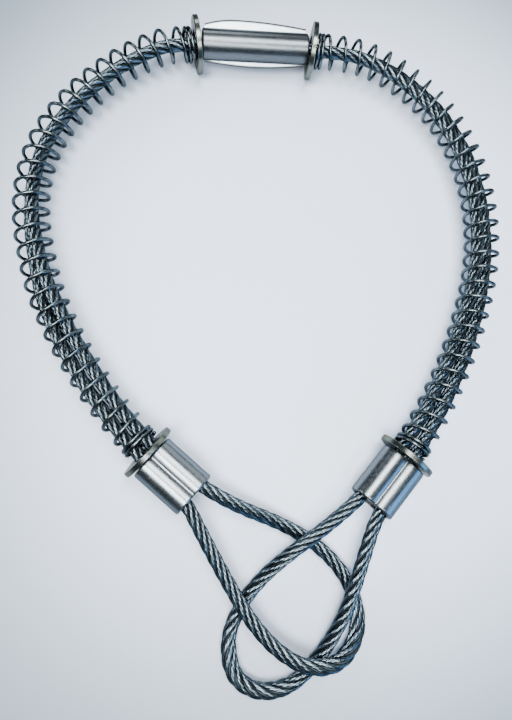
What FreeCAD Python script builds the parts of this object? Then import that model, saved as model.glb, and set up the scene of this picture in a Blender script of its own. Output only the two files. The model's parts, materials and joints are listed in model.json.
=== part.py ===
"""Whip-check safety cable: one doubled wire rope with an eye at each end.

A pressed ferrule grips the rope at the middle. On each side a compression spring rides
over the two legs and pushes a loose oval sleeve along them, which keeps the eye closed.
The cable lies on the plane z = 0, in millimetres, with +Y towards the pressed ferrule.
"""
import FreeCAD, Part
import Sketcher
import math
import os
from FreeCAD import Placement, Rotation, Vector

doc = FreeCAD.newDocument("whip_check")
UP = Vector(0, 0, 1)

# ---------------------------------------------------------------- driving dimensions

SIZES = {
    "rope_diameter": 4.1,
    "leg_spacing": 4.24,
    "cut_end_gap": 0.6,
    "lie_height": 8.9,
    "line_y": 96.3,
    "washer_outer": 17.8,
    "washer_hole": 9.4,
    "washer_thickness": 1.6,
    "washer_edge": 0.25,
    "core_width": 9.5,
    "core_height": 11.0,
    "core_length": 35.1,
    "core_middle_x": -1.8,
    "core_bore": 4.4,
    "core_edge": 0.7,
    "core_roll": 37.0,
    "fin_thickness": 1.3,
    "fin_stop": 0.2,
    "upper_fin_reach": 2.75,
    "upper_fin_end_reach": 1.25,
    "upper_fin_peak": -6.5,
    "lower_fin_reach": 1.65,
    "lower_fin_end_reach": 0.45,
    "lower_fin_peak": 0.0,
    "left_inner_washer_x": -20.85,
    "left_inner_washer_lean": 8.0,
    "right_inner_washer_x": 17.25,
    "right_inner_washer_lean": -8.0,
    "left_outer_washer_lean": 9.0,
    "right_outer_washer_lean": 7.5,
    "inner_washer_y": 95.8,
    "sleeve_width": 14.3,
    "sleeve_height": 9.4,
    "sleeve_length": 16.4,
    "sleeve_waist": 0.6,
    "sleeve_bore_width": 11.6,
    "sleeve_bore_height": 5.0,
    "sleeve_edge": 0.6,
    "spring_outer": 11.2,
    "spring_wire": 1.1,
    "spring_pitch": 5.15,
    "closed_pitch": 1.22,
    "closed_turns": 2.0,
    "leaning_turns": 5.0,
    "face_gap": 0.15,
    "bent_face_gap": 0.5,
    "left_bend_radius": 140.0,
    "left_bend_x": 66.0,
    "left_bend_y": 60.5,
    "left_sleeve_angle": -132.2,
    "right_bend_radius": 159.0,
    "right_bend_x": -85.0,
    "right_bend_y": 59.0,
    "right_sleeve_angle": -41.4,
}

sheet = doc.addObject("Spreadsheet::Sheet", "sizes")
for row, (alias, value) in enumerate(SIZES.items(), start=1):
    sheet.set("A%d" % row, alias)
    sheet.set("B%d" % row, str(value))
    sheet.setAlias("B%d" % row, alias)
doc.recompute()


def size(alias):
    """The number that the sheet holds under this alias."""
    return float(sheet.get(alias))


# ---------------------------------------------------------------- the rope's route
# The two legs share a centre line on each side. A point is x, y and the roll in degrees
# of the pair about that line: 0 or 180 is side by side, 90 is one above the other.

LEFT_LINE = [
    (-27.5, 96.3, 53), (-37.5, 91.8, 54), (-47.8, 84.6, 57), (-60.0, 72.2, 62),
    (-68.9, 56.5, 70), (-71.6, 37.0, 76), (-66.85, 14.7, 52), (-62.75, 4.45, 28),
]
RIGHT_LINE = [
    (26.5, 96.3, 127), (41.0, 92.2, 134), (56.3, 80.2, 142), (66.5, 64.0, 143),
    (71.2, 44.0, 145), (70.2, 22.1, 152),
]
# The last stretch under each spring is a true circle about the bend's centre, because the
# sleeve slides round it. Its points are the corners of a polygon drawn round that circle.
BEND_HALF_STEP = 4
BEND_CORNERS = {
    "left": [(-152, 3), (-144, 0), (-136, 0)],
    "right": [(-22, 177), (-30, 180), (-38, 180)],
}

# The eyes: x, y, z from the upper leg round to the lower leg.
LEFT_EYE = [
    (-20.5, -45.9, 8.9), (-9.5, -52.2, 6.9), (2.5, -57.0, 3.2), (12.5, -62.6, 2.05),
    (20.8, -70.6, 2.05), (25.2, -80.2, 2.05), (25.2, -88.6, 3.0), (19.2, -95.9, 5.9),
    (9.8, -96.7, 6.8), (0.8, -91.4, 6.7), (-6.3, -83.4, 6.7), (-11.6, -74.6, 6.9),
    (-16.6, -65.6, 7.5), (-20.9, -57.3, 8.5), (-24.4, -50.3, 8.9),
]
RIGHT_EYE = [
    (25.4, -51.0, 8.9), (14.6, -59.5, 6.9), (5.0, -65.7, 6.5), (-2.8, -72.4, 3.0),
    (-9.4, -80.2, 2.05), (-13.2, -89.4, 2.05), (-11.6, -99.0, 2.05), (-3.8, -103.6, 2.05),
    (5.4, -101.9, 2.05), (13.4, -94.6, 2.2), (19.0, -85.8, 5.2), (23.0, -76.6, 6.9),
    (26.6, -66.6, 7.7), (30.6, -55.4, 8.9),
]


def bend_corners(side):
    """Corners (x, y, roll) of the polygon round the side's bend circle."""
    centre_x = size(side + "_bend_x")
    centre_y = size(side + "_bend_y")
    reach = size(side + "_bend_radius") / math.cos(math.radians(BEND_HALF_STEP))
    corners = []
    for angle, roll in BEND_CORNERS[side]:
        turn = math.radians(angle)
        corners.append((centre_x + reach * math.cos(turn), centre_y + reach * math.sin(turn), roll))
    return corners


def centre_line(side):
    """Points (x, y, roll) of one spring's centre line, from the pressed ferrule outwards."""
    line = LEFT_LINE if side == "left" else RIGHT_LINE
    return line + bend_corners(side)


def leg(side, sign):
    """Route points of one leg: the centre line moved by half the spacing, turned by the roll."""
    line = centre_line(side)
    half = sign * size("leg_spacing") / 2
    points = []
    for i, (x, y, roll) in enumerate(line):
        before = line[max(i - 1, 0)]
        after = line[min(i + 1, len(line) - 1)]
        along_in = Vector(x - before[0], y - before[1], 0)
        along_out = Vector(after[0] - x, after[1] - y, 0)
        if i == 0:
            along_in = Vector(-1 if side == "left" else 1, 0, 0)
        if i == len(line) - 1:
            along_out = along_in
        along = along_in.normalize() + along_out.normalize()
        across = UP.cross(along).normalize()
        turn = math.radians(roll)
        offset = across * (half * math.cos(turn)) + UP * (half * math.sin(turn))
        points.append(Vector(x, y, size("lie_height")) + offset)
    return points


def rope_route():
    """Whole route: cut end, left lower leg, left eye, upper legs, right eye, cut end."""
    left_eye = [Vector(*p) for p in LEFT_EYE]
    right_eye = [Vector(*p) for p in RIGHT_EYE]
    left_lower = leg("left", -1)
    right_lower = leg("right", -1)
    half_gap = size("cut_end_gap") / 2
    start = Vector(size("core_middle_x") - half_gap, left_lower[0].y, left_lower[0].z)
    end = Vector(size("core_middle_x") + half_gap, right_lower[0].y, right_lower[0].z)
    left = left_lower + left_eye[::-1] + leg("left", 1)[::-1]
    right = leg("right", 1) + right_eye + right_lower[::-1]
    return [start] + left + right + [end]


def rounded_path(points, share=0.45):
    """Edges of straight runs joined by tangent arcs, and the arcs' radii.

    Each arc's radius is share * shorter run / tan(half the turn).
    """
    edges = []
    radii = []
    here = points[0]
    for i in range(1, len(points) - 1):
        corner = points[i]
        back = points[i - 1] - corner
        ahead = points[i + 1] - corner
        cut = share * min(back.Length, ahead.Length)
        back.normalize()
        ahead.normalize()
        half_turn = (math.pi - back.getAngle(ahead)) / 2
        radius = cut / math.tan(half_turn)
        first = corner + back * cut
        last = corner + ahead * cut
        middle_way = (back + ahead).normalize()
        middle = corner + middle_way * (radius / math.cos(half_turn) - radius)
        edges.append(Part.LineSegment(here, first).toShape())
        edges.append(Part.Arc(first, middle, last).toShape())
        radii.append(radius)
        here = last
    edges.append(Part.LineSegment(here, points[-1]).toShape())
    return edges, radii


def tube(edges, diameter):
    """A round bar along a path of edges, closed at both ends."""
    path = Part.Wire(edges)
    first = edges[0]
    start = first.valueAt(first.FirstParameter)
    towards = first.tangentAt(first.FirstParameter)
    ring = Part.Wire(Part.makeCircle(diameter / 2, start, towards))
    return path.makePipeShell([ring], True, False)


def feature(label, shape, material_note):
    """A sub-part whose shape comes from Part's own functions."""
    made = doc.addObject("Part::Feature", label)
    made.Label = label
    made.Label2 = material_note
    made.Shape = shape
    made.Placement = Placement()
    return made


def make_rope():
    """The one wire rope, as a plain round bar along its whole route."""
    edges, radii = rounded_path(rope_route())
    shape = tube(edges, size("rope_diameter"))
    length = sum(edge.Length for edge in edges)
    expected = length * math.pi * size("rope_diameter") ** 2 / 4
    print("rope length %.1f mm, volume %.1f, section x length %.1f" % (length, shape.Volume, expected))
    print("rope arc radii:", " ".join("%.1f" % r for r in radii))
    return feature("wire_rope", shape, "galvanised steel wire rope")


# ---------------------------------------------------------------- the springs


def on_bend(side, distance):
    """Point and direction on the bend circle, a distance inwards from the sleeve's middle.

    The direction is outwards, from the pressed ferrule towards the eye.
    """
    radius = size(side + "_bend_radius")
    way = 1 if side == "left" else -1
    angle = math.radians(size(side + "_sleeve_angle")) - way * distance / radius
    centre = Vector(size(side + "_bend_x"), size(side + "_bend_y"), size("lie_height"))
    point = centre + Vector(math.cos(angle), math.sin(angle), 0) * radius
    direction = Vector(-math.sin(angle), math.cos(angle), 0) * way
    return point, direction


class Line:
    """The centre line of one spring, measured along its straight runs and arcs."""

    def __init__(self, side):
        points = [Vector(size("core_middle_x"), size("line_y"), size("lie_height"))]
        points += [Vector(x, y, size("lie_height")) for x, y, roll in centre_line(side)]
        points.append(on_bend(side, -size("sleeve_length"))[0])
        self.edges, radii = rounded_path(points)

    def frame(self, distance):
        """Point, direction and level crossways direction at a distance along the line."""
        for edge in self.edges:
            if distance <= edge.Length or edge is self.edges[-1]:
                break
            distance -= edge.Length
        at = edge.getParameterByLength(distance)
        along = edge.tangentAt(at)
        return edge.valueAt(at), along, UP.cross(along).normalize()

    def distance_to(self, point):
        """Distance along the line to the place nearest to a point on it."""
        low = 0.0
        high = sum(edge.Length for edge in self.edges)
        while high - low > 1e-6:
            middle = (low + high) / 2
            place, along, across = self.frame(middle)
            if (point - place).dot(along) > 0:
                low = middle
            else:
                high = middle
        return low


def arc_from(start, tangent, end):
    """The circular arc that leaves start along tangent and reaches end."""
    chord = end - start
    half = chord.Length / 2
    chord.normalize()
    sideways = tangent - chord * tangent.dot(chord)
    bulge = half * math.tan(tangent.getAngle(chord) / 2)
    middle = (start + end) * 0.5 + sideways.normalize() * bulge
    return Part.Arc(start, middle, end).toShape()


def biarc(start, start_way, end, end_way):
    """Two arcs, tangent to each other, between two points with given directions."""
    step = end - start
    both = start_way + end_way
    bend = 2 * (1 - start_way.dot(end_way))
    reach = (math.sqrt(step.dot(both) ** 2 + bend * step.dot(step)) - step.dot(both)) / bend
    joint = (start + end + (start_way - end_way) * reach) * 0.5
    joint_way = (end - end_way * reach - start - start_way * reach).normalize()
    return [arc_from(start, start_way, joint), arc_from(joint, joint_way, end)]


def leaning_reach(side, height):
    """How far an outer washer's face reaches along the rope, from the washer's middle.

    At a height off the middle the face is at height * tan(lean) + thickness / (2 * cos(lean)).
    """
    lean = math.radians(size(side + "_outer_washer_lean"))
    return height * math.tan(lean) + size("washer_thickness") / (2 * math.cos(lean))


def outer_washer_reach(side):
    """Distance from a sleeve's middle to its washer's, whose face just clears the sleeve's top."""
    return size("sleeve_length") / 2 + size("face_gap") + leaning_reach(side, size("sleeve_height") / 2)


def make_spring(side):
    """A right-handed compression spring with closed ends, wound round its centre line.

    Its first turns lean with the inner washer and come upright over the leaning turns.
    """
    line = Line(side)
    wire = size("spring_wire")
    radius = (size("spring_outer") - wire) / 2
    lean = math.tan(math.radians(abs(size(side + "_inner_washer_lean"))))
    washer_side_y = size("line_y") - size("inner_washer_y")
    inner_face = abs(size(side + "_inner_washer_x") - size("core_middle_x")) + size("washer_thickness") / 2
    begin = inner_face + washer_side_y * lean + 2 * size("face_gap") + wire / 2
    outer_face = outer_washer_reach(side) + leaning_reach(side, size("spring_outer") / 2)
    finish = line.distance_to(on_bend(side, outer_face + size("bent_face_gap") + wire / 2)[0])
    lean_sign = -1 if side == "left" else 1
    closed = size("closed_turns")
    closed_run = closed * size("closed_pitch")
    active_run = finish - begin - 2 * closed_run
    active = round(active_run / size("spring_pitch"))

    def distance(turn):
        if turn <= closed:
            return begin + turn * size("closed_pitch")
        if turn >= closed + active:
            return finish - (2 * closed + active - turn) * size("closed_pitch")
        return begin + closed_run + (turn - closed) * active_run / active

    def place(turn):
        point, along, across = line.frame(distance(turn))
        angle = 2 * math.pi * turn
        upright = min(turn / size("leaning_turns"), 1.0)
        tip = lean_sign * radius * lean * (1 - upright) * math.cos(angle)
        return point + along * tip + across * (radius * math.cos(angle)) + UP * (radius * math.sin(angle))

    stations_per_turn = 3
    nudge = 0.02
    turns = [i / stations_per_turn for i in range(int(2 * closed + active) * stations_per_turn + 1)]
    points = [place(turn) for turn in turns]
    ways = [(place(turn + nudge) - place(turn - nudge)).normalize() for turn in turns]
    edges = []
    for i in range(len(turns) - 1):
        edges += biarc(points[i], ways[i], points[i + 1], ways[i + 1])
    length = sum(edge.Length for edge in edges)
    shape = tube(edges, wire)
    print("%s spring: %.1f mm long, %d turns, wire %.0f mm, volume %.1f of %.1f" % (
        side, finish - begin + wire, 2 * closed + active, length,
        shape.Volume, length * math.pi * wire ** 2 / 4))
    return feature(side + "_spring", shape, "spring steel")


# ---------------------------------------------------------------- bodies made of sketches


def new_body(label, note):
    body = doc.addObject("PartDesign::Body", label)
    body.Label = label
    body.Label2 = note
    return body


def new_sketch(body, name, role):
    """A sketch on one of the body's own origin planes."""
    sketch = body.newObject("Sketcher::SketchObject", name)
    support = [item for item in body.Origin.OriginFeatures if item.Role == role][0]
    sketch.AttachmentSupport = [(support, "")]
    sketch.MapMode = "FlatFace"
    return sketch


def bind(sketch, kind, geometry, expression, start_value):
    """Add a dimension to a sketch and bind it to an expression of the sheet's cells."""
    index = sketch.addConstraint(Sketcher.Constraint(kind, *geometry, start_value))
    sketch.setExpression("Constraints[%d]" % index, expression)


def circle(sketch, alias, x=0.0, y=0.0):
    """A circle whose diameter is the sheet's value."""
    index = sketch.addGeometry(Part.Circle(Vector(x, y, 0), UP, size(alias) / 2), False)
    bind(sketch, "Diameter", [index], "sizes." + alias, size(alias))
    return index


def slot_outline(sketch, long_alias, short_alias, along_x):
    """A slot centred on the origin: two half circles joined by two straight sides."""
    radius = size(short_alias) / 2
    offset = size(long_alias) / 2 - radius
    way = Vector(1, 0, 0) if along_x else Vector(0, 1, 0)
    first_angle = -math.pi / 2 if along_x else 0.0
    for sign, turn in ((1, 0.0), (-1, math.pi)):
        start = first_angle + turn
        cap = Part.Circle(way * (sign * offset), UP, radius)
        sketch.addGeometry(Part.ArcOfCircle(cap, start, start + math.pi), False)
    ends = [sketch.getPoint(i, p) for i, p in ((0, 2), (1, 1), (1, 2), (0, 1))]
    sketch.addGeometry(Part.LineSegment(ends[0], ends[1]), False)
    sketch.addGeometry(Part.LineSegment(ends[2], ends[3]), False)
    for pair in ((0, 2, 2, 1), (2, 2, 1, 1), (1, 2, 3, 1), (3, 2, 0, 1)):
        sketch.addConstraint(Sketcher.Constraint("Tangent", *pair))
    sketch.addConstraint(Sketcher.Constraint("Symmetric", 0, 3, 1, 3, -1, 1))
    bind(sketch, "Radius", [0], "sizes.%s / 2" % short_alias, radius)
    kind = "DistanceX" if along_x else "DistanceY"
    bind(sketch, kind, [1, 3, 0, 3], "sizes.%s - sizes.%s" % (long_alias, short_alias), 2 * offset)


def pad(body, sketch, name, length_alias):
    made = body.newObject("PartDesign::Pad", name)
    made.Profile = sketch
    made.Midplane = True
    made.setExpression("Length", "sizes." + length_alias)
    doc.recompute()
    return made


def pocket(body, sketch, name):
    """Cut a sketch right through the body, both ways."""
    before = body.Shape.Volume
    made = body.newObject("PartDesign::Pocket", name)
    made.Profile = sketch
    made.Type = "ThroughAll"
    made.Midplane = True
    doc.recompute()
    print("%s.%s removed %.1f mm3" % (body.Label, name, before - body.Shape.Volume))


def round_ends(body, base, length_alias, radius_alias):
    """Round the edges of both end faces of a padded body."""
    end = size(length_alias) / 2
    names = []
    for i, edge in enumerate(base.Shape.Edges, start=1):
        if abs(abs(edge.CenterOfMass.z) - end) < 1e-6:
            names.append("Edge%d" % i)
    made = body.newObject("PartDesign::Fillet", "rounded_ends")
    made.Base = (base, names)
    made.setExpression("Radius", "sizes." + radius_alias)
    doc.recompute()


def lay(body, point, along, roll=0.0):
    """Put a body's middle at a point, with its Z along a direction and its Y as near up as can be.

    The roll, in degrees, then turns it about that direction.
    """
    across = UP.cross(along)
    turn = Rotation(across, UP, along, "ZYX")
    body.Placement = Placement(point, turn.multiply(Rotation(Vector(0, 0, 1), roll)))


def make_washer(label, point, along):
    body = new_body(label, "zinc-plated steel")
    sketch = new_sketch(body, "ring", "XY_Plane")
    for alias in ("washer_outer", "washer_hole"):
        index = circle(sketch, alias)
        sketch.addConstraint(Sketcher.Constraint("Coincident", index, 3, -1, 1))
    disc = pad(body, sketch, "disc", "washer_thickness")
    round_ends(body, disc, "washer_thickness", "washer_edge")
    lay(body, point, along)
    return body


def fin_outline(sketch):
    """Both flash fins as one outline across the core, in the sketch's X and Y.

    Each side is two arcs that meet at the fin's widest place, tangent to each other.
    """
    root = size("core_width") / 2
    half = size("core_length") / 2 - size("core_edge") - size("fin_stop")
    corners = []
    for sign, fin in ((1, "upper_fin"), (-1, "lower_fin")):
        end_x = root + size(fin + "_end_reach")
        peak_x = root + size(fin + "_reach")
        peak = size(fin + "_peak")
        rise = peak_x - end_x
        tip = Vector(sign * peak_x, peak, 0)
        ends = [Vector(sign * end_x, -half, 0), Vector(sign * end_x, half, 0)]
        for end in ends:
            run = abs(peak - end.y)
            radius = (rise ** 2 + run ** 2) / (2 * rise)
            centre = Vector(sign * (peak_x - radius), peak, 0)
            middle = centre + ((tip + end) * 0.5 - centre).normalize() * radius
            sketch.addGeometry(Part.Arc(end, middle, tip), False)
        corners += ends
    sketch.addGeometry(Part.LineSegment(corners[0], corners[2]), False)
    sketch.addGeometry(Part.LineSegment(corners[1], corners[3]), False)


def make_pressed_ferrule():
    """The swaged ferrule: a slotted core round both runs of rope, with a fin on each side."""
    body = new_body("pressed_ferrule", "aluminium")
    outline = new_sketch(body, "core_outline", "XY_Plane")
    slot_outline(outline, "core_height", "core_width", False)
    core = pad(body, outline, "core", "core_length")
    round_ends(body, core, "core_length", "core_edge")
    fins = new_sketch(body, "fin_outline", "XZ_Plane")
    fin_outline(fins)
    pad(body, fins, "fins", "fin_thickness")
    for name, sign in (("upper_bore", 1), ("lower_bore", -1)):
        bore = new_sketch(body, name + "_outline", "XY_Plane")
        circle(bore, "core_bore", 0.0, sign * size("leg_spacing") / 2)
        pocket(body, bore, name)
    middle = Vector(size("core_middle_x"), size("line_y"), size("lie_height"))
    lay(body, middle, Vector(1, 0, 0), size("core_roll"))
    return body


def sleeve_outline(sketch):
    """Two round lobes side by side, joined by a shallow waist above and below.

    A waist arc of radius w touches both lobes: b^2 + (a - c + w)^2 = (w + a)^2,
    with lobe radius a, lobe offset b and waist depth c.
    """
    lobe = size("sleeve_height") / 2
    offset = size("sleeve_width") / 2 - lobe
    depth = size("sleeve_waist")
    waist = (offset ** 2 + (lobe - depth) ** 2 - lobe ** 2) / (2 * depth)
    rise = lobe - depth + waist
    for sign in (1, -1):
        centre = Vector(sign * offset, 0, 0)
        touch = centre + Vector(-sign * offset, rise, 0).normalize() * lobe
        low = Vector(touch.x, -touch.y, 0)
        sketch.addGeometry(Part.Arc(low, Vector(sign * (offset + lobe), 0, 0), touch), False)
        above = Vector(offset, rise * sign, 0)
        right = Vector(offset, 0, 0) + Vector(-offset, rise * sign, 0).normalize() * lobe
        left = Vector(-right.x, right.y, 0)
        sketch.addGeometry(Part.Arc(right, Vector(0, sign * (lobe - depth), 0), left), False)


def make_sleeve(side):
    """The loose oval sleeve that slides over both legs and closes the eye."""
    body = new_body(side + "_sleeve", "aluminium")
    outline = new_sketch(body, "outline", "XY_Plane")
    sleeve_outline(outline)
    solid = pad(body, outline, "lobes", "sleeve_length")
    round_ends(body, solid, "sleeve_length", "sleeve_edge")
    bore = new_sketch(body, "bore_outline", "XY_Plane")
    slot_outline(bore, "sleeve_bore_width", "sleeve_bore_height", True)
    pocket(body, bore, "bore")
    point, along = on_bend(side, 0.0)
    lay(body, point, along)
    return body


def make_washers():
    """One washer at each end of each spring.

    The inner ones lean on the pressed ferrule, and the outer ones lean over the sleeves.
    """
    made = []
    for side in ("left", "right"):
        inner = Vector(size(side + "_inner_washer_x"), size("inner_washer_y"), size("lie_height"))
        lean = math.radians(size(side + "_inner_washer_lean"))
        inner_way = Vector(math.cos(lean), math.sin(lean), 0)
        made.append(make_washer(side + "_inner_washer", inner, inner_way))
        point = on_bend(side, outer_washer_reach(side))[0]
        sleeve_way = on_bend(side, 0.0)[1]
        lean = math.radians(size(side + "_outer_washer_lean"))
        outer_way = sleeve_way * math.cos(lean) - UP * math.sin(lean)
        made.append(make_washer(side + "_outer_washer", point, outer_way))
    return made


# ---------------------------------------------------------------- build, check and write

subparts = [make_rope(), make_pressed_ferrule()]
subparts += make_washers()
for side in ("left", "right"):
    subparts += [make_spring(side), make_sleeve(side)]
doc.recompute()

for item in doc.Objects:
    if "Invalid" in item.State or "Error" in item.State:
        raise RuntimeError("%s is %s" % (item.Name, item.State))
for item in subparts:
    if item.Shape.isNull() or not item.Shape.isValid():
        raise RuntimeError("%s has no valid shape" % item.Label)

os.makedirs("parts", exist_ok=True)
whole = FreeCAD.BoundBox()
for item in subparts:
    item.Shape.exportStep("parts/%s.step" % item.Label)
    whole.add(item.Shape.BoundBox)
print("box %s" % whole)
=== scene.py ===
# %% [markdown]
# # A whip-check safety cable
#
# This cable keeps two pressurised hoses from whipping about if their joint fails. It is one
# wire rope, doubled, with an eye at each end. A pressed ferrule grips the rope at its middle,
# and on each side a long spring pushes a loose sleeve along both legs to keep the eye closed.
# We load the engineering model first: it says where every piece is, to a tenth of a
# millimetre, and nothing here moves it. Our job is what the model leaves out: the strands of
# the rope, round spring wire, and metal that looks used.

# %% Load the frame
import json
import math

import bpy
import numpy as np
from mathutils import Matrix, Vector


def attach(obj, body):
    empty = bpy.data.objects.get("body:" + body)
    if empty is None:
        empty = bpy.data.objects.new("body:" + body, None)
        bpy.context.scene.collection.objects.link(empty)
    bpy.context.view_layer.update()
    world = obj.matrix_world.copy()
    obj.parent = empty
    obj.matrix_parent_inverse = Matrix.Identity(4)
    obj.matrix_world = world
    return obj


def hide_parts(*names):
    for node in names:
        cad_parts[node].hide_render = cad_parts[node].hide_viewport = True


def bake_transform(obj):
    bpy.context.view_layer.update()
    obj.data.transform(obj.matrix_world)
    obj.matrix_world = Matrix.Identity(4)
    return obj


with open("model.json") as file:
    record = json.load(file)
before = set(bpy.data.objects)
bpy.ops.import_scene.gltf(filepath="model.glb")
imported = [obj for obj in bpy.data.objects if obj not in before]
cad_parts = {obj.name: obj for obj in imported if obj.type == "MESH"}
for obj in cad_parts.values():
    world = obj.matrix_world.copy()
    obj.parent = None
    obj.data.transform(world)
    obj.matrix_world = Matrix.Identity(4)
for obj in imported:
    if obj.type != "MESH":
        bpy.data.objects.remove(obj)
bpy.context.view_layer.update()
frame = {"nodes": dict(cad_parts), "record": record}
record = frame["record"]
joints = {joint["name"]: joint for joint in record["behaviour"]["joints"]}
MM = 0.001

# %% [markdown]
# ## The camera
#
# The cable lies flat and is looked at from above, from quite near, so the eyes at the bottom
# look bigger than the ferrule at the top. The camera stands 185 mm over the table, off the
# cable's middle, and is tipped a little on two axes. A tip of each axis is easier to check than
# a target point, so we multiply two plain rotations.

# %% Camera
CAMERA_HEIGHT = 185.4 * MM
CAMERA_FOOT = (-23.0 * MM, -45.0 * MM)
TIP_ABOUT_X = math.radians(11.3)
TIP_ABOUT_Y = math.radians(-6.14)
LENS = 30.4
NEAREST_SEEN = 5 * MM

camera_data = bpy.data.cameras.new("camera")
camera_data.lens = LENS
camera_data.clip_start = NEAREST_SEEN
camera = bpy.data.objects.new("camera", camera_data)
tip = Matrix.Rotation(TIP_ABOUT_X, 4, "X") @ Matrix.Rotation(TIP_ABOUT_Y, 4, "Y")
camera.matrix_world = Matrix.Translation((*CAMERA_FOOT, CAMERA_HEIGHT)) @ tip
bpy.context.collection.objects.link(camera)
bpy.context.scene.camera = camera
print("camera height", CAMERA_HEIGHT)

# %% [markdown]
# ## The rope's route
#
# A wire rope is stiff: it runs in easy bends and never kinks. We give the route as control
# points of one smooth spline, the same points as the engineering model has. On each side the
# two legs share a centre line, and a roll angle says how the pair is turned about it: beside
# each other in the sleeve, one well above the other at the pressed ferrule. The eyes have
# points of their own, and where one rope passes over another they rise in a long low hump.

# %% Route points, in millimetres
LIE_HEIGHT = 8.9
LEG_SPACING = 4.24
FERRULE_MIDDLE = -1.8
CUT_END_GAP = 0.6

# Each row of a line is x, y and roll in degrees. Each row of an eye is x, y and z.
LEFT_LINE = [
    (-27.5, 96.3, 53), (-37.5, 91.8, 54), (-47.8, 84.6, 57), (-60.0, 72.2, 62),
    (-68.9, 56.5, 70), (-71.6, 37.0, 76), (-66.85, 14.7, 52), (-62.75, 4.45, 28),
]
RIGHT_LINE = [
    (26.5, 96.3, 127), (41.0, 92.2, 134), (56.3, 80.2, 142), (66.5, 64.0, 143),
    (71.2, 44.0, 145), (70.2, 22.1, 152),
]
BENDS = {
    "left": {"centre": (66.0, 60.5), "radius": 140.0, "corners": [(-152, 3), (-144, 0), (-136, 0)]},
    "right": {"centre": (-85.0, 59.0), "radius": 159.0, "corners": [(-22, 177), (-30, 180), (-38, 180)]},
}
BEND_HALF_STEP = math.radians(4)
LEFT_EYE = [
    (-20.5, -45.9, 8.9), (-9.5, -52.2, 6.9), (2.5, -57.0, 3.2), (12.5, -62.6, 2.05),
    (20.8, -70.6, 2.05), (25.2, -80.2, 2.05), (25.2, -88.6, 3.0), (19.2, -95.9, 5.9),
    (9.8, -96.7, 6.8), (0.8, -91.4, 6.7), (-6.3, -83.4, 6.7), (-11.6, -74.6, 6.9),
    (-16.6, -65.6, 7.5), (-20.9, -57.3, 8.5), (-24.4, -50.3, 8.9),
]
RIGHT_EYE = [
    (25.4, -51.0, 8.9), (14.6, -59.5, 6.9), (5.0, -65.7, 6.5), (-2.8, -72.4, 3.0),
    (-9.4, -80.2, 2.05), (-13.2, -89.4, 2.05), (-11.6, -99.0, 2.05), (-3.8, -103.6, 2.05),
    (5.4, -101.9, 2.05), (13.4, -94.6, 2.2), (19.0, -85.8, 5.2), (23.0, -76.6, 6.9),
    (26.6, -66.6, 7.7), (30.6, -55.4, 8.9),
]


def centre_line(side):
    """Centre line of one side as rows of x, y and roll: listed points, then corners round the bend
    circle, each at centre + radius / cos(half step) * (cos, sin)."""
    bend = BENDS[side]
    angle, roll = np.array(bend["corners"], float).T
    reach = bend["radius"] / math.cos(BEND_HALF_STEP)
    x = bend["centre"][0] + reach * np.cos(np.radians(angle))
    y = bend["centre"][1] + reach * np.sin(np.radians(angle))
    placed = LEFT_LINE if side == "left" else RIGHT_LINE
    return np.vstack([np.array(placed, float), np.column_stack([x, y, roll])])


def leg(side, sign):
    """One leg: centre line + half the spacing * (cos roll * across + sin roll * up)."""
    line = centre_line(side)
    steps = np.diff(line[:, :2], axis=0)
    steps /= np.linalg.norm(steps, axis=1)[:, None]
    first = [-1.0, 0.0] if side == "left" else [1.0, 0.0]
    along = np.vstack([[first], steps]) + np.vstack([steps, steps[-1:]])
    along /= np.linalg.norm(along, axis=1)[:, None]
    roll = np.radians(line[:, 2])
    half = sign * LEG_SPACING / 2
    flat = line[:, :2] + (half * np.cos(roll))[:, None] * np.column_stack([-along[:, 1], along[:, 0]])
    return np.column_stack([flat, LIE_HEIGHT + half * np.sin(roll)])


def rope_route():
    """Cut end, left lower leg, left eye, both upper legs, right eye, right lower leg, cut end."""
    left_lower, right_lower = leg("left", -1), leg("right", -1)
    start = [FERRULE_MIDDLE - CUT_END_GAP / 2, left_lower[0, 1], left_lower[0, 2]]
    end = [FERRULE_MIDDLE + CUT_END_GAP / 2, right_lower[0, 1], right_lower[0, 2]]
    return np.vstack([
        [start], left_lower, LEFT_EYE[::-1], leg("left", 1)[::-1],
        leg("right", 1), RIGHT_EYE, right_lower[::-1], [end],
    ])


print("the rope's route has", len(rope_route()), "points")

# %% [markdown]
# ## From control points to a smooth line
#
# Blender's NURBS spline of order 3 never leaves the band between its control points, which is
# how a stiff rope behaves. We let Blender work the curve out, read its points back, and space
# them evenly. Every strand, wire and coil is then wound round such a line.

# %% Smooth lines
ROPE_STEP = 0.8 * MM
SPRING_STEP = 0.5 * MM
CURVE_RESOLUTION = 24


def run_along(line):
    """Distance along a line at each of its points."""
    return np.concatenate([[0.0], np.cumsum(np.linalg.norm(np.diff(line, axis=0), axis=1))])


def smooth_line(points, step):
    """Points of a NURBS spline of order 3 with the given control points (in mm), read from
    Blender's own evaluation and respaced every step along its length. Returns metres."""
    curve = bpy.data.curves.new("route", "CURVE")
    curve.dimensions = "3D"
    curve.resolution_u = CURVE_RESOLUTION
    spline = curve.splines.new("NURBS")
    spline.points.add(len(points) - 1)
    flat = np.column_stack([np.asarray(points) * MM, np.ones(len(points))])
    spline.points.foreach_set("co", flat.ravel())
    spline.order_u = 3
    spline.use_endpoint_u = True
    holder = bpy.data.objects.new("route", curve)
    bpy.context.collection.objects.link(holder)
    mesh = bpy.data.meshes.new_from_object(holder)
    line = np.empty(len(mesh.vertices) * 3)
    mesh.vertices.foreach_get("co", line)
    line = line.reshape(-1, 3)
    bpy.data.objects.remove(holder)
    bpy.data.curves.remove(curve)
    bpy.data.meshes.remove(mesh)
    run = run_along(line)
    even = np.linspace(0.0, run[-1], round(run[-1] / step))
    return np.column_stack([np.interp(even, run, line[:, i]) for i in range(3)])


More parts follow.
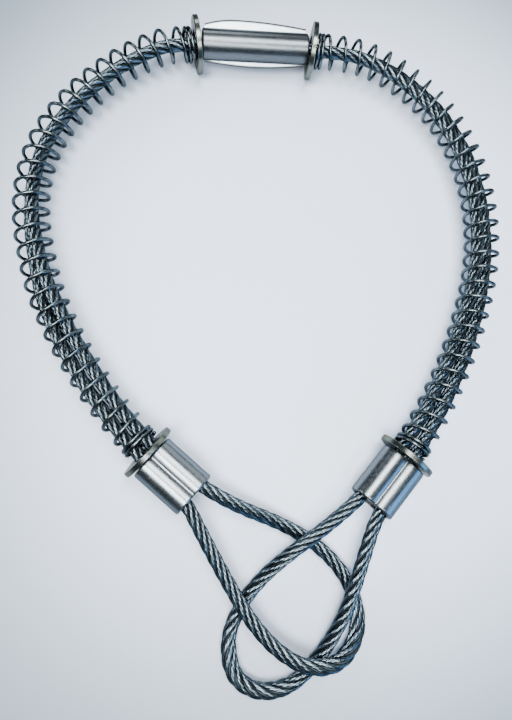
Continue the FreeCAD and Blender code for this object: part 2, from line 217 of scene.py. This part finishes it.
def frames_along(line):
    """Direction along a line, level crossways direction and the third one, at each point."""
    along = np.gradient(line, axis=0)
    along /= np.linalg.norm(along, axis=1)[:, None]
    across = np.cross([0.0, 0.0, 1.0], along)
    across /= np.linalg.norm(across, axis=1)[:, None]
    return along, across, np.cross(along, across)


rope_line = smooth_line(rope_route(), ROPE_STEP)

# %% [markdown]
# ## Meshes from grids
#
# A tube is a grid of points: rows go along the line, columns go round it. One helper turns any
# such grid into a closed mesh, joins the last column to the first, and fans a cap over each
# end. The whole grid is one array, so nothing is computed point by point.

# %% Grid helper


def tube_mesh(name, rings, marks=None):
    """A closed tube from rings[row, column, xyz], columns running anticlockwise about the
    direction of the rows. Marks are named values, one for each ring point."""
    rows, columns = rings.shape[:2]
    points = np.vstack([rings.reshape(-1, 3), rings[0].mean(0), rings[-1].mean(0)])
    r, c = np.meshgrid(np.arange(rows - 1), np.arange(columns), indexing="ij")
    a, b = r * columns + c, r * columns + (c + 1) % columns
    quads = np.stack([a, b, b + columns, a + columns], -1).reshape(-1, 4)
    c = np.arange(columns)
    start, end = len(points) - 2, len(points) - 1
    last = (rows - 1) * columns
    caps = np.vstack([
        np.column_stack([np.full(columns, start), (c + 1) % columns, c]),
        np.column_stack([np.full(columns, end), last + c, last + (c + 1) % columns]),
    ])
    loops = np.concatenate([quads.ravel(), caps.ravel()])
    totals = np.concatenate([np.full(len(quads), 4), np.full(len(caps), 3)])
    mesh = bpy.data.meshes.new(name)
    mesh.vertices.add(len(points))
    mesh.vertices.foreach_set("co", points.ravel())
    mesh.loops.add(len(loops))
    mesh.loops.foreach_set("vertex_index", loops)
    mesh.polygons.add(len(totals))
    mesh.polygons.foreach_set("loop_start", np.concatenate([[0], np.cumsum(totals)[:-1]]))
    mesh.polygons.foreach_set("use_smooth", np.ones(len(totals), bool))
    mesh.update(calc_edges=True)
    mesh.validate()
    for mark, values in (marks or {}).items():
        layer = mesh.attributes.new(mark, "FLOAT", "POINT")
        full = np.concatenate([np.asarray(values, float).ravel(), [values.mean(), values.mean()]])
        layer.data.foreach_set("value", full.astype(np.float32))
    piece = bpy.data.objects.new(name, mesh)
    bpy.context.collection.objects.link(piece)
    return piece


def circles(line, radius, columns, first, second):
    """Circles about a line: line + radius * (cos a * first + sin a * second)."""
    angle = (2 * np.pi * np.arange(columns) / columns)[None, :, None]
    outwards = np.cos(angle) * first[:, None] + np.sin(angle) * second[:, None]
    return line[:, None] + radius[:, None, None] * outwards


def rings_round(line, radius, columns):
    """Circles about a line that nowhere runs straight up."""
    along, across, third = frames_along(line)
    return circles(line, radius, columns, across, third)


def rings_round_any(line, radius, columns):
    """Circles about a line that may run straight up: the crossways direction is taken from
    the line's own bend, which for a spring points at its axis."""
    along = np.gradient(line, axis=0)
    along /= np.linalg.norm(along, axis=1)[:, None]
    bend = np.gradient(along, axis=0)
    bend -= along * np.sum(bend * along, axis=1)[:, None]
    bend /= np.linalg.norm(bend, axis=1)[:, None]
    return circles(line, radius, columns, bend, np.cross(along, bend))


print("helpers ready: a closed tube from rings, and rings round a line")

# %% [markdown]
# ## The wire rope
#
# The rope has six strands laid right-handed round a core, one turn in about six diameters.
# Each strand is itself a bundle of wires laid the other way, so that on the crown of a strand
# the wires run almost along the rope. We wind six fluted tubes: the flutes are the wires, real
# shape and not a bump map, because light breaks on them. A plain dark tube fills the heart.

# %% Strands
ROPE_RADIUS = 2.05 * MM
STRANDS = 6
STRAND_RADIUS = ROPE_RADIUS / 3
ROPE_LAY = 24.5 * MM
WIRES = 12
WIRE_LAY = 12.0 * MM
POINTS_PER_WIRE = 4
# In a bend tighter than the easy radius the strands begin to open. At the hard radius they
# have opened by this share of the rope's radius. The bend is averaged over some line points.
OPENING = 0.22
OPENING_POINTS = 15
EASY_BEND = 24 * MM
HARD_BEND = 13 * MM
HEART_RADIUS = 1.45 * MM
HEART_COLUMNS = 12


def fluted_radius(gap, outer, wires):
    """Outline of a ring of round wires. With wire radius w = outer * k / (1 + k), where
    k = sin(pi / wires), it is (outer - w) cos g + sqrt(w^2 - (outer - w)^2 sin^2 g)."""
    k = math.sin(math.pi / wires)
    wire = outer * k / (1 + k)
    ring = outer - wire
    return ring * np.cos(gap) + np.sqrt(np.maximum(wire**2 - (ring * np.sin(gap)) ** 2, 0))


def opening(line):
    """How far the strands open where the rope is bent hard, 0 to 1, and the way to the inside
    of the bend. The bend is the change of direction per length, averaged over some length."""
    along, across, third = frames_along(line)
    step = run_along(line)[1]
    turn = np.sum(np.gradient(along, axis=0) * across, axis=1) / step
    turn = np.convolve(turn, np.ones(OPENING_POINTS) / OPENING_POINTS, "same")
    share = np.clip((np.abs(turn) * EASY_BEND - 1) / (EASY_BEND / HARD_BEND - 1), 0, 1)
    return share * share * (3 - 2 * share), np.sign(turn)[:, None] * across


def wind_strand(number):
    """One strand: a fluted tube round line + r * (cos p * across + sin p * third), where
    the phase p grows by a full turn for every lay, right-handed. In a hard bend the ring of
    strands opens sideways and slips a little towards the inside of the bend."""
    along, across, third = frames_along(rope_line)
    run = run_along(rope_line)
    phase = 2 * np.pi * (run / ROPE_LAY + number / STRANDS)
    share, inwards = opening(rope_line)
    wide = (1 + OPENING * share) * np.cos(phase)
    out = np.cos(phase)[:, None] * across + np.sin(phase)[:, None] * third
    spread = wide[:, None] * across + np.sin(phase)[:, None] * third + OPENING * share[:, None] * inwards
    middle = rope_line + (ROPE_RADIUS - STRAND_RADIUS) * spread
    way = np.gradient(middle, axis=0)
    way /= np.linalg.norm(way, axis=1)[:, None]
    side = np.cross(way, out)
    side /= np.linalg.norm(side, axis=1)[:, None]
    out = np.cross(side, way)
    wires_round = (np.arange(WIRES * POINTS_PER_WIRE) + 0.5) / POINTS_PER_WIRE
    gap = (wires_round % 1 - 0.5) * 2 * np.pi / WIRES
    radius = fluted_radius(gap, STRAND_RADIUS, WIRES)
    angle = 2 * np.pi * wires_round / WIRES - 2 * np.pi * run[:, None] / WIRE_LAY
    rings = middle[:, None] + radius[None, :, None] * (
        np.cos(angle)[..., None] * out[:, None] + np.sin(angle)[..., None] * side[:, None])
    depth = np.linalg.norm(rings - rope_line[:, None], axis=2) / ROPE_RADIUS
    which = np.floor(wires_round)[None, :] + WIRES * number
    return tube_mesh("rope_strand_%d" % (number + 1), rings,
                     {"height": depth, "wire": np.broadcast_to(which, depth.shape)})


heart_rings = rings_round(rope_line, HEART_RADIUS * np.ones(len(rope_line)), HEART_COLUMNS)
rope_heart = tube_mesh("rope_heart", heart_rings)
strands = [wind_strand(number) for number in range(STRANDS)]
print("each strand has", len(strands[0].data.polygons), "faces")

# %% [markdown]
# ## The springs
#
# Each spring is one round wire wound right-handed about the line between the two legs. Its end
# turns are closed, so that they push evenly on the washers, and its cut ends are bevelled. The
# turn number is the parameter: we work out how far along the line each turn lies, then place
# the wire's centre there.

# %% Springs
SPRING_RADIUS = 5.05 * MM
WIRE_RADIUS = 0.55 * MM
SPRING_PITCH = 5.15 * MM
CLOSED_PITCH = 1.22 * MM
CLOSED_TURNS = 2.0
WASHER_HALF = 0.8 * MM
FACE_GAP = 0.15 * MM
BENT_FACE_GAP = 0.5 * MM
LEANING_TURNS = 5.0
STRAIGHT_IN_SLEEVE = 20
POINTS_PER_TURN = 40
WIRE_COLUMNS = 12
END_BEVEL = 0.3 * WIRE_RADIUS


def spring_line(side):
    """The line between the legs, begun at the ferrule's middle and run on through the sleeve,
    where it turns by one more step of the bend."""
    line = centre_line(side)[:, :2]
    outwards = (line[-1] - line[-2]) / np.linalg.norm(line[-1] - line[-2])
    turn = 2 * BEND_HALF_STEP * (1 if side == "left" else -1)
    spin = np.array([[math.cos(turn), -math.sin(turn)], [math.sin(turn), math.cos(turn)]])
    last = line[-1] + STRAIGHT_IN_SLEEVE * (spin @ outwards)
    flat = np.vstack([[FERRULE_MIDDLE, line[0, 1]], line, last])
    return smooth_line(np.column_stack([flat, np.full(len(flat), LIE_HEIGHT)]), SPRING_STEP)


def distance_at(line, place):
    """Distance along a line to the point of it that is nearest to a place."""
    return run_along(line)[np.linalg.norm(line - np.array(place), axis=1).argmin()]


def wind_spring(side):
    """The wire's centre is line(s) + R (cos 2 pi n * across + sin 2 pi n * up), where s grows
    by the closed pitch on each end turn and by an even pitch on each turn between. The first
    turns also lean with their washer: s shifts by R * tan(lean) * cos 2 pi n, fading out. The
    outer washer leans its top over the sleeve, so the last turn stays clear of its foot."""
    line = spring_line(side)
    inner = joints[side + "_inner_washer_spin"]
    outer = joints[side + "_outer_washer_spin"]
    steep = -outer["axis"][2] / math.hypot(*outer["axis"][:2])
    foot = (SPRING_RADIUS + WIRE_RADIUS) * steep + WASHER_HALF * math.hypot(1, steep)
    lean = abs(inner["axis"][1] / inner["axis"][0])
    at_line = (line[0, 1] - inner["pos_m"][1]) * lean
    begin = abs(inner["pos_m"][0] - line[0, 0]) + at_line + WASHER_HALF + 2 * FACE_GAP + WIRE_RADIUS
    finish = distance_at(line, outer["pos_m"]) - foot - BENT_FACE_GAP - WIRE_RADIUS
    free = finish - begin - 2 * CLOSED_TURNS * CLOSED_PITCH
    active = round(free / SPRING_PITCH)
    total = 2 * CLOSED_TURNS + active
    turn = np.linspace(0, total, int(total * POINTS_PER_TURN) + 1)
    low = begin + CLOSED_TURNS * CLOSED_PITCH
    s = np.interp(turn, [0, CLOSED_TURNS, total - CLOSED_TURNS, total],
                  [begin, low, low + free, finish])
    along, across, up = frames_along(line)
    at = [np.column_stack([np.interp(s, run_along(line), part[:, i]) for i in range(3)])
          for part in (line, across, up, along)]
    angle = 2 * np.pi * turn[:, None]
    way = -1 if side == "left" else 1
    tip = way * SPRING_RADIUS * lean * np.clip(1 - turn[:, None] / LEANING_TURNS, 0, 1) * np.cos(angle)
    wire_line = at[0] + SPRING_RADIUS * (np.cos(angle) * at[1] + np.sin(angle) * at[2]) + tip * at[3]
    from_end = np.minimum(run_along(wire_line), run_along(wire_line)[::-1])
    radius = np.minimum(WIRE_RADIUS, WIRE_RADIUS - END_BEVEL + from_end)
    spring = tube_mesh(side + "_spring_wire", rings_round_any(wire_line, radius, WIRE_COLUMNS))
    print(side, "spring:", int(total), "turns over", round((finish - begin) / MM, 1), "mm")
    return spring


SIDES = ("left", "right")
springs = {side: wind_spring(side) for side in SIDES}

# %% [markdown]
# ## Writing materials as sums
#
# A material is a small formula. Wiring its nodes by hand hides the formula, so we wrap a
# socket in a class that Python's + - * and / work on. A second class builds a whole material:
# one method adds any node, its settings first and its inputs after, and the rest are short
# names for the nodes that we use most.

# %% Material helper


class Signal:
    """A socket of a material. Arithmetic on it adds Math nodes to the same material."""

    def __init__(self, finish, socket):
        self.finish = finish
        self.socket = socket

    def maths(self, operation, first, second=0.0):
        """A Math node on two values. The second is left out where one is enough."""
        return self.finish.add("ShaderNodeMath", {"operation": operation}, {0: first, 1: second})

    def __add__(self, other):
        return self.maths("ADD", self, other)

    def __radd__(self, other):
        return self.maths("ADD", other, self)

    def __sub__(self, other):
        return self.maths("SUBTRACT", self, other)

    def __rsub__(self, other):
        return self.maths("SUBTRACT", other, self)

    def __mul__(self, other):
        return self.maths("MULTIPLY", self, other)

    def __rmul__(self, other):
        return self.maths("MULTIPLY", other, self)

    def __truediv__(self, other):
        return self.maths("DIVIDE", self, other)

    def between(self, low, high):
        """0 below low, 1 above high, and smooth from one to the other."""
        settings = {"interpolation_type": "SMOOTHSTEP"}
        return self.finish.add("ShaderNodeMapRange", settings, {0: self, 1: low, 2: high})


class Finish:
    """A material under construction, named after what it looks like. The room's own colour is
    built in the same way, on a world with its Background shader."""

    def __init__(self, name, shelf=bpy.data.materials, shader="Principled BSDF"):
        self.material = shelf.new(name)
        self.material.use_nodes = True
        self.nodes = self.material.node_tree.nodes
        self.links = self.material.node_tree.links
        self.shader = self.nodes[shader]

    def plug(self, socket, value):
        """Link a signal to a socket, or set the socket to a number or colour."""
        if isinstance(value, Signal):
            self.links.new(value.socket, socket)
        else:
            socket.default_value = value

    def add(self, kind, settings=None, inputs=None, output=0):
        """A node of any kind: its settings, then its inputs. Returns one of its outputs. The
        stops of a ramp are its two places and their colours."""
        node = self.nodes.new(kind)
        for key, value in (settings or {}).items():
            if key == "stops":
                for element, (place, colour) in zip(node.color_ramp.elements, value):
                    element.position = place
                    element.color = colour
            else:
                setattr(node, key, value)
        for key, value in (inputs or {}).items():
            self.plug(node.inputs[key], value)
        return Signal(self, node.outputs[output])

    def place(self, turn=0.0, stretch=(1.0, 1.0, 1.0)):
        """The piece's own coordinates, turned about Z and stretched."""
        where = self.add("ShaderNodeTexCoord", output="Object")
        return self.add("ShaderNodeMapping", {"vector_type": "TEXTURE"}, {
            "Vector": where, "Rotation": (0.0, 0.0, turn), "Scale": stretch})

    def parts(self, where):
        """The X, Y and Z of a vector."""
        node = self.add("ShaderNodeSeparateXYZ", None, {0: where}).socket.node
        return [Signal(self, output) for output in node.outputs]

    def noise(self, where, scale, detail=4.0, roughness=0.6):
        """A cloudy value about 0.5, with scale in clouds for each metre."""
        return self.add("ShaderNodeTexNoise", {"noise_dimensions": "3D"}, {
            "Vector": where, "Scale": scale, "Detail": detail, "Roughness": roughness})

    def mark(self, name):
        """A value that was stored on the mesh."""
        return self.add("ShaderNodeAttribute", {"attribute_name": name}, output="Fac")

    def blend(self, share, low, high):
        """A mix of two colours."""
        return self.add("ShaderNodeMix", {"data_type": "RGBA"}, {0: share, 6: low, 7: high}, output=2)

    def bump(self, height, distance, strength=1.0, under=None):
        """A normal from a height, laid over the normal under it where there is one."""
        inputs = {"Height": height, "Distance": distance, "Strength": strength}
        if under is not None:
            inputs["Normal"] = under
        return self.add("ShaderNodeBump", None, inputs)

    def finish(self, **values):
        """Set the shader's sockets by name, with _ for a space, and return the material."""
        for name, value in values.items():
            self.plug(self.shader.inputs[name.replace("_", " ")], value)
        return self.material


def grey(level, tint=(1.0, 1.0, 1.0)):
    """A colour with alpha from one level and a tint."""
    return (level * tint[0], level * tint[1], level * tint[2], 1.0)


def paint(piece, material):
    """Give a piece one material on every face."""
    piece.data.materials.clear()
    piece.data.materials.append(material)


print("material helpers ready: signals, finishes, grey and paint")

# %% [markdown]
# ## Galvanised rope wire
#
# Zinc on drawn wire is grey and slightly blue. The height stored on the mesh drives both colour and
# roughness: the valleys between strands and wires are painted dark as painted shade, and the crowns are
# lighter and smoother. Each wire also differs a little from its neighbour. The colours are darker than
# the metal looks, because bright lamps are reflected in it.

# %% Rope finishes
COOL = (0.88, 0.99, 1.08)
BLUISH = (0.74, 0.99, 1.16)
SLATE = (0.80, 1.00, 1.10)


def rope_finish():
    """Painted shade in the valleys and lighter crowns, by the height and wire number on the mesh."""
    made = Finish("galvanised_rope_wire_painted_shade")
    # Painted shade: the colour darkens from the crowns of the wires down into the valleys between wires
    # and strands.
    height = made.mark("height").between(0.66, 1.0)
    blotch = made.noise(made.place(), 380.0)
    wire = made.add("ShaderNodeTexWhiteNoise", {"noise_dimensions": "1D"}, {"W": made.mark("wire")})
    bright = height * (0.55 + 0.35 * wire + 0.25 * blotch)
    colour = made.blend(bright, grey(0.010, BLUISH), grey(0.115, BLUISH))
    rough = 0.26 - 0.10 * height + 0.10 * blotch
    fine = made.noise(made.place(), 5200.0, 3.0)
    normal = made.bump(fine, 0.02 * MM, 0.5)
    return made.finish(Base_Color=colour, Metallic=1.0, Roughness=rough, Normal=normal,
                       Specular_Tint=grey(0.35))


def heart_finish():
    """Rough dark grime."""
    made = Finish("rope_heart_grime")
    grain = made.noise(made.place(), 2600.0)
    colour = made.blend(grain, grey(0.02, BLUISH), grey(0.08, BLUISH))
    return made.finish(Base_Color=colour, Metallic=0.6, Roughness=0.55 + 0.25 * grain,
                       Normal=made.bump(grain, 0.06 * MM))


rope_metal = rope_finish()
for strand in strands:
    paint(strand, rope_metal)
paint(rope_heart, heart_finish())
print("rope painted")

# %% [markdown]
# ## Drawn spring wire
#
# Spring wire is harder and smoother than rope wire. Drawing leaves a soft grey skin with a
# very fine grain, and handling leaves paler, duller patches.

# %% Spring finish


def spring_finish():
    """Smooth grey wire in patches."""
    made = Finish("drawn_spring_wire")
    where = made.place()
    patch = made.noise(where, 260.0)
    fine = made.noise(where, 3400.0, 3.0)
    colour = made.blend(patch.between(0.3, 0.7), grey(0.060, SLATE), grey(0.125, SLATE))
    rough = 0.15 + 0.16 * patch + 0.06 * fine
    return made.finish(Base_Color=colour, Metallic=1.0, Roughness=rough,
                       Normal=made.bump(fine, 0.01 * MM, 0.4), Specular_Tint=grey(0.4))


spring_metal = spring_finish()
for spring in springs.values():
    paint(spring, spring_metal)
print("springs painted")

# %% [markdown]
# ## Washers
#
# The washers are stamped and zinc plated, with a faint yellow passivation that gathers in
# clouds. Their faces carry fine tumbling marks in every direction.

# %% Washer finish


def washer_finish():
    """Grey zinc with yellowish clouds and small marks."""
    made = Finish("yellowish_zinc_plate")
    where = made.place()
    cloud = made.noise(where, 140.0, 3.0)
    speck = made.noise(where, 1800.0, 5.0)
    colour = made.blend(cloud.between(0.35, 0.7), (0.105, 0.122, 0.116, 1.0), (0.135, 0.145, 0.118, 1.0))
    rough = 0.14 + 0.12 * cloud + 0.10 * speck
    return made.finish(Base_Color=colour, Metallic=1.0, Roughness=rough,
                       Normal=made.bump(speck, 0.03 * MM, 0.5), Specular_Tint=grey(0.4))


zinc = washer_finish()
washers = [node for name, node in frame["nodes"].items() if name.endswith("washer")]
for washer in washers:
    paint(washer, zinc)
print(len(washers), "washers painted")

# %% [markdown]
# ## Aluminium sleeves and ferrule
#
# The sleeves are cut from drawn tube, so their lines run along them: a noise stretched along gives those
# lines. A fine sandy grain lies over them, with a few pits. The pressed ferrule has the same finish,
# darker and with more pits. Its fins are the metal that the die squeezed out. Their faces are painted
# near white as a painted highlight, and a dark painted shade line runs along their thin edges.

# %% Aluminium finishes


def drawn_aluminium(made, turn, low, high, dullness, pits):
    """Colour, roughness and normal for lines along the direction at an angle of turn from X,
    a fine sandy grain, and a share of pits."""
    lengthwise = made.place(turn, (9.0, 1.0, 1.0))
    lines = made.noise(lengthwise, 2300.0, 5.0, 0.65)
    broad = made.noise(lengthwise, 520.0, 3.0)
    grain = made.noise(made.place(), 3300.0, 3.0)
    blotch = made.noise(made.place(), 210.0)
    colour = made.blend(0.4 * lines + 0.3 * broad + 0.3 * grain, grey(low, COOL), grey(high, COOL))
    rough = dullness + 0.12 * lines + 0.14 * blotch
    normal = made.bump(0.5 * lines + 0.5 * broad, 0.03 * MM, 0.5)
    normal = made.bump(grain, 0.03 * MM, 0.6, normal)
    spots = made.noise(made.place(), 1500.0, 2.0).between(0.74 - 0.08 * pits, 0.80 - 0.08 * pits)
    normal = made.bump(1 - spots, 0.08 * MM, 0.8, normal)
    return colour, rough + 0.2 * spots, normal


def sleeve_turn(side):
    """Angle of a sleeve's axis from X, from its washer's own hinge axis."""
    axis = joints[side + "_outer_washer_spin"]["axis"]
    return math.atan2(axis[1], axis[0])


def sleeve_finish(side):
    """Bright drawn tube, with its lines along the sleeve."""
    made = Finish(side + "_sleeve_metal")
    colour, rough, normal = drawn_aluminium(
        made, sleeve_turn(side), low=0.08, high=0.26, dullness=0.14, pits=0.5)
    return made.finish(Base_Color=colour, Metallic=1.0, Roughness=rough, Normal=normal,
                       Specular_Tint=grey(0.3))


# The plane of the fins is rolled about the ferrule's axis. The fins' painted highlight comes in over the
# width of the root. The painted shade line along their edges begins and is whole at two distances short
# of the outline.
# For each fin: its reach past the core, the drop from there to its ends, where it is widest
# and its two lengths from there. From the root onwards these are in mm.
FERRULE_ACROSS = 96.3 * MM
FIN_ROLL = math.radians(37)
CORE_HALF_WIDTH = 4.75 * MM
FIN_ROOT = 0.15
EDGE_BEGINS = 0.85
EDGE_WHOLE = 0.35
UPPER_FIN = {"reach": 2.75, "drop": 1.5, "widest": -8.3, "left": 10.15, "right": 23.15}
LOWER_FIN = {"reach": 1.65, "drop": 1.2, "widest": -1.8, "left": 16.65, "right": 16.65}


def fin_edge_shade_mask(made, x, outwards, fin):
    """1 on the thin edge of a fin, where a dark line is painted as shade, 0 elsewhere. The outline is
    reach - drop * t^2, where t runs from 0 at the widest place to 1 at each end."""
    off = x - fin["widest"] * MM
    t = off.maths("MAXIMUM", off / (fin["right"] * MM), off / (-fin["left"] * MM))
    rim = outwards - CORE_HALF_WIDTH + (fin["drop"] * MM) * t * t
    return rim.between((fin["reach"] - EDGE_BEGINS) * MM, (fin["reach"] - EDGE_WHOLE) * MM)


def ferrule_finish():
    """Dull pressed metal on the core, with a painted highlight on the fins' faces and a painted shade
    line along their edges.
    """
    made = Finish("pressed_ferrule_metal")
    core, rough, normal = drawn_aluminium(
        made, 0.0, low=0.02, high=0.20, dullness=0.17, pits=1.0)
    x, y, z = made.parts(made.place())
    out = (y - FERRULE_ACROSS) * math.cos(FIN_ROLL) + (z - LIE_HEIGHT * MM) * math.sin(FIN_ROLL)
    fin_highlight_mask = out.maths("ABSOLUTE", out).between(CORE_HALF_WIDTH, CORE_HALF_WIDTH + FIN_ROOT * MM)
    # Painted shade: a dark line along the thin edge of each fin.
    fin_edge_shade = fin_edge_shade_mask(made, x, out, UPPER_FIN) + fin_edge_shade_mask(made, x, 0 - out, LOWER_FIN)
    streaks = made.noise(made.place(0.0, (3.0, 1.0, 1.0)), 900.0)
    # Painted highlight: the fins' faces are painted near white.
    bright = made.blend(streaks, grey(0.62, COOL), grey(0.95, COOL))
    fin = made.blend(fin_edge_shade, bright, grey(0.03, COOL))
    colour = made.blend(fin_highlight_mask, core, fin)
    return made.finish(Base_Color=colour, Metallic=1.0, Roughness=rough + 0.16 * fin_highlight_mask, Normal=normal,
                       Specular_Tint=grey(0.3))


for side in SIDES:
    paint(frame["nodes"][side + "_sleeve"], sleeve_finish(side))
paint(frame["nodes"]["pressed_ferrule"], ferrule_finish())
print("sleeves and ferrule painted")

# %% [markdown]
# ## The table and the light
#
# Metal shows what it reflects, so the room matters more than the lamps. Three small lamps
# overhead draw short bright lines on the wires, and windows and a pale wall at the sides draw
# longer ones. One window is deep blue. The room itself is dim, a little paler near the horizon.
# The table is smooth and pale near the middle, and darkens away from there: a painted pool of light with
# painted shade around it.

# %% Table
TABLE_SIZE = 3.0
# Painted light: the table's colour is pale within the first reach of this point and is painted dark as
# shade by the second.
PAINTED_LIGHT_MIDDLE = (0.025, 0.015, 0.0)
PAINTED_LIGHT_REACH = 0.06
PAINTED_SHADE_REACH = 0.165

bpy.ops.mesh.primitive_plane_add(size=TABLE_SIZE, location=(0.0, 0.0, 0.0))
table = bpy.context.active_object
table.name = "table_top"


def table_finish():
    """A pale colour with broad mottle, blended to a dark one by distance from the middle: painted light
    near the middle, painted shade farther out.
    """
    made = Finish("table_with_painted_light_pool")
    mottle = made.noise(made.place(), 6.0, 2.0)
    from_middle = made.add("ShaderNodeVectorMath", {"operation": "DISTANCE"},
                           {0: made.place(), 1: PAINTED_LIGHT_MIDDLE}, output=1)
    pale = made.blend(mottle, (0.63, 0.71, 0.84, 1.0), (0.66, 0.74, 0.87, 1.0))
    # Painted shade: the colour darkens with distance from the middle.
    colour = made.blend(from_middle.between(PAINTED_LIGHT_REACH, PAINTED_SHADE_REACH), pale, (0.12, 0.160, 0.20, 1.0))
    return made.finish(Base_Color=colour, Roughness=0.42 + 0.1 * mottle)


paint(table, table_finish())
print("table", TABLE_SIZE, "m wide, pale to", PAINTED_LIGHT_REACH, "m from its bright middle")

# %% Lamps
WHITE = (1.0, 1.0, 0.99)
DAYLIGHT = (0.96, 0.99, 1.0)
PALE_BLUE = (0.90, 0.97, 1.0)
DEEP_BLUE = (0.26, 0.56, 1.0)
ORIGIN = (0.0, 0.0, 0.0)

# Name, place, the point it faces, width and height in metres, watts and colour.
LAMPS = [
    ("ceiling_lamp", (-0.24, -0.24, 0.80), ORIGIN, (0.32, 0.32), 13.0, WHITE),
    ("second_lamp", (0.06, 0.15, 0.80), ORIGIN, (0.32, 0.32), 9.0, WHITE),
    ("near_lamp", (0.09, -0.46, 0.80), ORIGIN, (0.26, 0.26), 5.0, WHITE),
    ("far_window", (-0.15, 1.00, 0.55), (0.0, 0.05, 0.0), (0.50, 0.25), 4.0, DAYLIGHT),
    ("left_window", (-0.95, 0.20, 0.50), ORIGIN, (0.25, 0.25), 4.0, DAYLIGHT),
    ("right_wall", (0.80, 0.65, 0.50), ORIGIN, (1.1, 0.7), 5.0, PALE_BLUE),
    ("blue_window", (0.50, -0.40, 0.24), (0.03, -0.05, 0.01), (0.35, 0.42), 2.8, DEEP_BLUE),
]


def soft_box(name, place, aim, size, power, colour):
    """A rectangular area light at a place, facing a point."""
    lamp = bpy.data.lights.new(name, "AREA")
    lamp.shape = "RECTANGLE"
    lamp.size, lamp.size_y = size
    lamp.energy = power
    lamp.color = colour
    holder = bpy.data.objects.new(name, lamp)
    way = (Vector(aim) - Vector(place)).to_track_quat("-Z", "Y")
    holder.matrix_world = Matrix.Translation(place) @ way.to_matrix().to_4x4()
    bpy.context.collection.objects.link(holder)


for lamp in LAMPS:
    soft_box(*lamp)
print(len(LAMPS), "lamps")

# %% Room
# Height in the room as a share: 0 at the horizon and 1 overhead, with the colour at each.
WALLS = [(0.12, (0.14, 0.16, 0.18, 1.0)), (0.5, (0.048, 0.072, 0.10, 1.0))]


def dim_room():
    """A world that is coloured by height alone."""
    made = Finish("room", bpy.data.worlds, "Background")
    x, y, height = made.parts(made.add("ShaderNodeTexCoord", output="Generated"))
    return made.finish(Color=made.add("ShaderNodeValToRGB", {"stops": WALLS}, {0: height}))


bpy.context.scene.world = dim_room()
print("room paler below", WALLS[0][0], "and dark above", WALLS[1][0])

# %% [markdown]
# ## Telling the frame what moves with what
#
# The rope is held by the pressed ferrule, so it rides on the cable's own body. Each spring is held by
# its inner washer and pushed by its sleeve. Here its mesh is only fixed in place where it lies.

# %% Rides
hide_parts("wire_rope")
for piece in [rope_heart, *strands]:
    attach(piece, "cable")
for side, spring in springs.items():
    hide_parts(side + "_spring")
    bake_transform(spring)
print(len(strands) + 1, "rope pieces and", len(springs), "springs ride on the frame")
